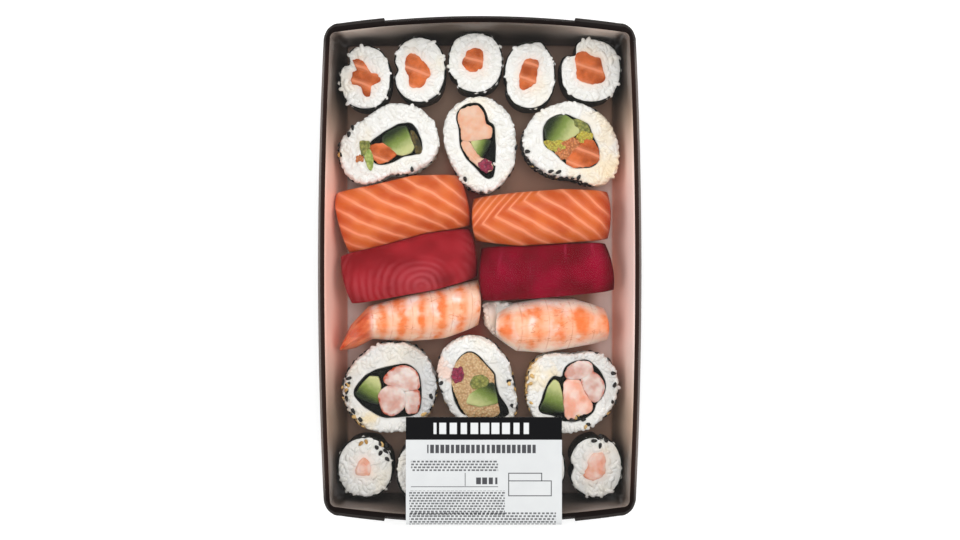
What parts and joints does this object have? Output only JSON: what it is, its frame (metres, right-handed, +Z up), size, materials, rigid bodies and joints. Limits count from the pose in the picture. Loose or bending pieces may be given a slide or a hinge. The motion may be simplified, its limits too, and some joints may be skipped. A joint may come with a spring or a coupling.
{
  "type": "takeaway sushi tray",
  "caption": "Folded board tray of mixed sushi: thin rolls, inside-out rolls and nigiri standing on its floor, under clear lidding film with a paper label.",
  "frame": {"origin": "centre of the tray's flat base", "axes": "+Z up, +Y along the tray towards the salmon rolls, +X across it to the right when +Y points away"},
  "size_m": [0.1524, 0.2396, 0.041],
  "materials": {
    "tray_board": "semi-gloss",
    "lidding_film": "gloss",
    "label_paper": "satin",
    "rice": "satin",
    "nori": "satin",
    "salmon": "satin",
    "tuna": "satin",
    "shrimp": "satin",
    "crab": "satin",
    "mixed_filling": "satin",
    "cucumber": "satin",
    "tuna_salad": "satin",
    "sesame": "satin"
  },
  "bodies": {
    "root": {"tray": "tray_board", "salmon_roll_1_nori": "nori", "salmon_roll_1_rice": "rice", "salmon_roll_1_filling": "salmon", "salmon_roll_2_nori": "nori", "salmon_roll_2_rice": "rice", "salmon_roll_2_filling": "salmon", "salmon_roll_3_nori": "nori", "salmon_roll_3_rice": "rice", "salmon_roll_3_filling": "salmon", "salmon_roll_4_nori": "nori", "salmon_roll_4_rice": "rice", "salmon_roll_4_filling": "salmon", "salmon_roll_5_nori": "nori", "salmon_roll_5_rice": "rice", "salmon_roll_5_filling": "salmon", "crab_roll_1_nori": "nori", "crab_roll_1_rice": "rice", "crab_roll_1_filling": "crab", "crab_roll_2_nori": "nori", "crab_roll_2_rice": "rice", "crab_roll_2_filling": "crab", "crab_roll_3_nori": "nori", "crab_roll_3_rice": "rice", "crab_roll_3_filling": "crab", "crab_roll_4_nori": "nori", "crab_roll_4_rice": "rice", "crab_roll_4_filling": "crab", "crab_roll_5_nori": "nori", "crab_roll_5_rice": "rice", "crab_roll_5_filling": "crab", "cucumber_salmon_roll_1_rice": "rice", "cucumber_salmon_roll_1_filling": "mixed_filling", "crab_salad_roll_rice": "rice", "crab_salad_roll_filling": "mixed_filling", "cucumber_salmon_roll_2_rice": "rice", "cucumber_salmon_roll_2_filling": "mixed_filling", "shrimp_roll_1_rice": "rice", "shrimp_roll_1_filling": "mixed_filling", "tuna_salad_roll_rice": "rice", "tuna_salad_roll_filling": "mixed_filling", "shrimp_roll_2_rice": "rice", "shrimp_roll_2_filling": "mixed_filling", "salmon_nigiri_1_rice": "rice", "salmon_nigiri_1_topping": "salmon", "salmon_nigiri_2_rice": "rice", "salmon_nigiri_2_topping": "salmon", "tuna_nigiri_1_rice": "rice", "tuna_nigiri_1_topping": "tuna", "tuna_nigiri_2_rice": "rice", "tuna_nigiri_2_topping": "tuna", "shrimp_nigiri_1_rice": "rice", "shrimp_nigiri_1_topping": "shrimp", "shrimp_nigiri_2_rice": "rice", "shrimp_nigiri_2_topping": "shrimp", "lidding_film": "lidding_film", "label": "label_paper"}
  },
  "joints": []
}
